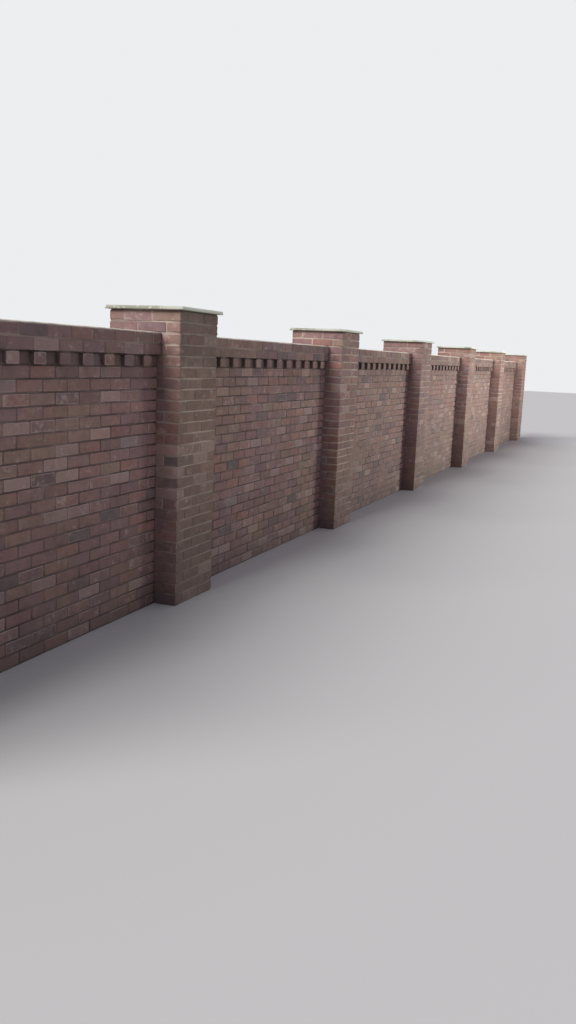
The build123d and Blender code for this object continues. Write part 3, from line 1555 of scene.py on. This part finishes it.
@dataclass
class Pier(Brickwork):
    """One square pier: a shaft laid as a pinwheel of stretchers, a mortar bed and a thin stone cap."""

    stone: bpy.types.Material
    mortar: bpy.types.Material
    cap_spacing: float = 0.018
    cap_layers: int = 4
    cap_lean: float = math.radians(8.0)
    cap_chip: float = 0.006
    arris_wear: float = 0.003
    arris_level: float = 0.7
    cap_riven: float = 0.0022

    NAME: ClassVar[str] = "pier"
    SHAFT_SEED: ClassVar[int] = 70
    CHIP_SCALE: ClassVar[float] = 24.0
    FINE_CHIP_SCALE: ClassVar[float] = 75.0
    FINE_CHIP_SHARE: ClassVar[float] = 0.3
    RIVEN_SCALE: ClassVar[float] = 6.5
    FINE_RIVEN_SCALE: ClassVar[float] = 27.0
    FINE_RIVEN_SHARE: ClassVar[float] = 0.35

    def shaft(self) -> None:
        """Lay the shaft: two stretchers a course on each face, turned the other way on odd courses."""
        bond = self.bond
        low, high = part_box(self.node("shaft"))
        half = (high.x - low.x) / 2
        courses = round((high.z - low.z) / bond.course)
        whole = BrickShape("pier_brick", bond.length, bond.width, bond.height, STRETCHER_PARTS,
                           ends_show=True)
        count = int(2 * half // bond.stretcher)
        start = -half + bond.header + bond.length / 2
        runs = [Run(whole, side, half, start, bond.stretcher, count, courses, -bond.header) for side in Side]
        self.dress("shaft", "shaft", self.SHAFT_SEED, low.z + bond.joint, runs, self.core, all_round=True)

    def cap_bed(self) -> None:
        """Dress the mortar bed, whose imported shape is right."""
        bed = bpy.data.objects[self.node("cap_bed")]
        bed.data.materials.clear()
        bed.data.materials.append(self.mortar)
        LOG.info("%s: dressed as packed", bed.name)

    def cap(self) -> None:
        """Build the stone cap with a riven top and hand-dressed edges."""
        low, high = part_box(self.node("cap"))
        middle = (low + high) / 2
        half = (high.x - low.x) / 2
        thickness = high.z - low.z
        lines = [
            even_steps(low.x, high.x, self.cap_spacing),
            even_steps(low.y, high.y, self.cap_spacing),
            even_steps(low.z, high.z, thickness / self.cap_layers),
        ]
        mesh = bmesh.new()
        for vertex in box_shell(mesh, lines):
            place = vertex.co.copy()
            level = (place.z - low.z) / thickness
            across = Vector((place.x - middle.x, place.y - middle.y))
            shrink = math.tan(self.cap_lean) * thickness * level
            if max(abs(across.x), abs(across.y)) > half - TOUCH:
                rough = unit_noise(place * self.CHIP_SCALE)
                fine = unit_noise(place * self.FINE_CHIP_SCALE)
                chip = (1 - self.FINE_CHIP_SHARE) * rough + self.FINE_CHIP_SHARE * fine
                worn = self.arris_wear * max(0.0, level - self.arris_level) / (1 - self.arris_level)
                shrink += self.cap_chip * chip + worn
            across *= (half - shrink) / half
            vertex.co.x, vertex.co.y = middle.x + across.x, middle.y + across.y
            if level > ON_EDGE:
                fine = noise.noise(place * self.FINE_RIVEN_SCALE)
                riven = unit_noise(place * self.RIVEN_SCALE) + self.FINE_RIVEN_SHARE * fine
                vertex.co.z -= self.cap_riven * max(0.0, riven)
        piece = new_piece(self.node("stone_cap"), mesh, self.stone, smooth=True)
        hand_over(piece, Slot.STONE, self.node("cap"))

    def build(self) -> None:
        """Build every piece of the pier."""
        self.shaft()
        self.cap_bed()
        self.cap()


@dataclass(frozen=True)
class View:
    """The camera, at the angle from which the wall was seen."""

    place: Point = (-12.390, -3.2315, 1.745)
    heading: float = math.radians(68.31)
    pitch: float = math.radians(-9.72)
    roll: float = math.radians(2.35)
    lens: float = 31.50
    sensor: float = 36.0
    farthest: float = 200.0

    def build(self) -> None:
        """Make the camera; heading turns from +Y towards +X."""
        level = Vector((math.sin(self.heading), math.cos(self.heading), 0.0))
        forward = level * math.cos(self.pitch) + Vector((0.0, 0.0, math.sin(self.pitch)))
        side = Vector((math.cos(self.heading), -math.sin(self.heading), 0.0))
        upward = side.cross(forward)
        right = side * math.cos(self.roll) + upward * math.sin(self.roll)
        up = upward * math.cos(self.roll) - side * math.sin(self.roll)
        data = bpy.data.cameras.new("camera")
        data.lens = self.lens
        data.sensor_width = self.sensor
        data.sensor_fit = "AUTO"
        data.clip_end = self.farthest
        camera = add_object("camera", data)
        turned = Matrix((right, up, -forward)).transposed().to_4x4()
        camera.matrix_world = Matrix.Translation(self.place) @ turned
        bpy.context.scene.camera = camera


def hang(lamp: bpy.types.Light, place: Point, direction: Vector) -> bpy.types.Object:
    """Put a lamp in the scene, where the camera doesn't see it.

    Args:
        lamp: The lamp.
        place: Where it hangs.
        direction: The way that it shines.

    Returns:
        The lamp's object.
    """
    hung = add_object(lamp.name, lamp)
    hung.visible_camera = False
    hung.location = place
    hung.rotation_euler = direction.to_track_quat("-Z", "Y").to_euler()
    return hung


@dataclass(frozen=True)
class Sun:
    """A distant lamp with a wide disc, for soft shadows."""

    name: str
    direction: Point
    strength: float
    angle: float
    height: float = 10.0

    def build(self) -> None:
        """Hang the lamp."""
        lamp = bpy.data.lights.new(self.name, "SUN")
        lamp.energy = self.strength
        lamp.angle = self.angle
        hang(lamp, (0.0, 0.0, self.height), Vector(self.direction))


@dataclass(frozen=True)
class Softbox:
    """A square lamp with a narrow beam."""

    name: str
    place: Point
    aim: Point
    colour: Colour
    power: float
    size: float
    spread: float

    def build(self, unlit: bpy.types.Collection) -> None:
        """Hang the lamp.

        Args:
            unlit: What the lamp leaves alone.
        """
        lamp = bpy.data.lights.new(self.name, "AREA")
        lamp.energy = self.power
        lamp.color = self.colour
        lamp.size = self.size
        lamp.spread = self.spread
        hung = hang(lamp, self.place, Vector(self.aim) - Vector(self.place))
        hung.light_linking.receiver_collection = unlit


@dataclass(frozen=True)
class Studio:
    """Plain pale floor and soft light: two keys from above the garden, and two fills from the road side."""

    floor_colour: Colour = linear(189, 187, 183)
    floor_rough: float = 0.9
    floor_size: float = 120.0
    backdrop: Colour = linear(236, 238, 240)
    ambient: Colour = (0.84, 0.84, 1.0)
    ambient_strength: float = 0.465
    keys: tuple[Sun, ...] = (
        Sun("key", (0.70, -0.42, -0.62), 2.3, math.radians(30.0)),
        Sun("grazing_key", (0.80, -0.115, -0.60), 1.3, math.radians(13.0)),
    )
    fills: tuple[Softbox, ...] = (
        Softbox("far_fill", place=(25.0, -25.0, 6.0), aim=(4.5, 0.0, 2.0), colour=(0.97, 1.0, 0.88),
                power=400.0, size=8.0, spread=math.radians(27.0)),
        Softbox("end_fill", place=(-8.0, -8.0, 3.5), aim=(12.0, 0.0, 1.0), colour=(1.0, 0.92, 0.84),
                power=56.0, size=3.0, spread=math.radians(30.0)),
    )

    def floor(self, level: float) -> bpy.types.Object:
        """Lay the floor.

        Args:
            level: Height of the wall's base.

        Returns:
            The floor.
        """
        mesh = bmesh.new()
        bmesh.ops.create_grid(mesh, x_segments=1, y_segments=1, size=self.floor_size / 2)
        bmesh.ops.translate(mesh, verts=mesh.verts, vec=(0.0, 0.0, level))
        surface = {"Base Color": self.floor_colour, "Roughness": self.floor_rough}
        finish = SurfaceGraph("pale_floor").shade(surface)
        floor = new_piece("floor", mesh, finish, smooth=False)
        floor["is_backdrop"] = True
        return floor

    def sky(self) -> None:
        """Light the scene from all round, and show the camera the plain backdrop."""
        world = bpy.data.worlds.new("studio")
        world.use_nodes = True
        graph = Graph(world.node_tree)
        seen = graph.wire("ShaderNodeLightPath", key="Is Camera Ray")
        light, shown = (
            graph.wire("ShaderNodeBackground", inputs={"Color": colour, "Strength": strength})
            for colour, strength in ((self.ambient, self.ambient_strength), (self.backdrop, 1.0))
        )
        both = graph.wire("ShaderNodeMixShader", inputs={0: seen, 1: light, 2: shown})
        graph.node("ShaderNodeOutputWorld", inputs={"Surface": both})
        bpy.context.scene.world = world

    def build(self, level: float) -> None:
        """Make the floor, the sky, the lamps and the plain colour view.

        Args:
            level: Height of the wall's base.
        """
        unlit = bpy.data.collections.new("not_lit_by_fills")
        unlit.objects.link(self.floor(level))
        unlit.collection_objects[0].light_linking.link_state = "EXCLUDE"
        self.sky()
        for key in self.keys:
            key.build()
        for fill in self.fills:
            fill.build(unlit)
        bpy.context.scene.view_settings.view_transform = "Standard"


@dataclass
class GardenWall:
    """The whole wall."""

    bond: Bond = Bond()
    bay_count: int = 6

    def build(self) -> None:
        """Build all piers and panels from the ground up."""
        mortar = MortarFinish().material()
        pier_mortar = MortarFinish("pier_mortar", dark=linear(112, 95, 88), pale=linear(194, 176, 158),
                                   dirt_share=0.0, upright_pale=0.25, sheltered_pale=0.60,
                                   patch_scale=1.5).material()
        fresh = MortarFinish("capping_mortar", dark=linear(190, 178, 162), pale=linear(236, 227, 210),
                             upright_dirt=0.0, upright_pale=1.0).material()
        stone = StoneFinish().material()
        layer = Bricklayer(self.bond, BrickFinish().material())
        core = JointCore(mortar)
        pointed = JointCore(pier_mortar, bed_recess=0.0050, upright_recess=0.0036, roughness=0.15)
        for number in range(1, self.bay_count + 2):
            Pier(number, self.bond, layer, pointed, stone, mortar).build()
        for number in range(1, self.bay_count + 1):
            Panel(number, self.bond, layer, core, pointed, fresh).build()
        layer.clear_away()


def main() -> None:
    """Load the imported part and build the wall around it."""
    logging.basicConfig(level=logging.INFO, format="%(name)s %(message)s")
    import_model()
    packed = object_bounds()
    GardenWall().build()
    Studio().build(packed[0].z)
    View().build()


if __name__ == "__main__":
    main()
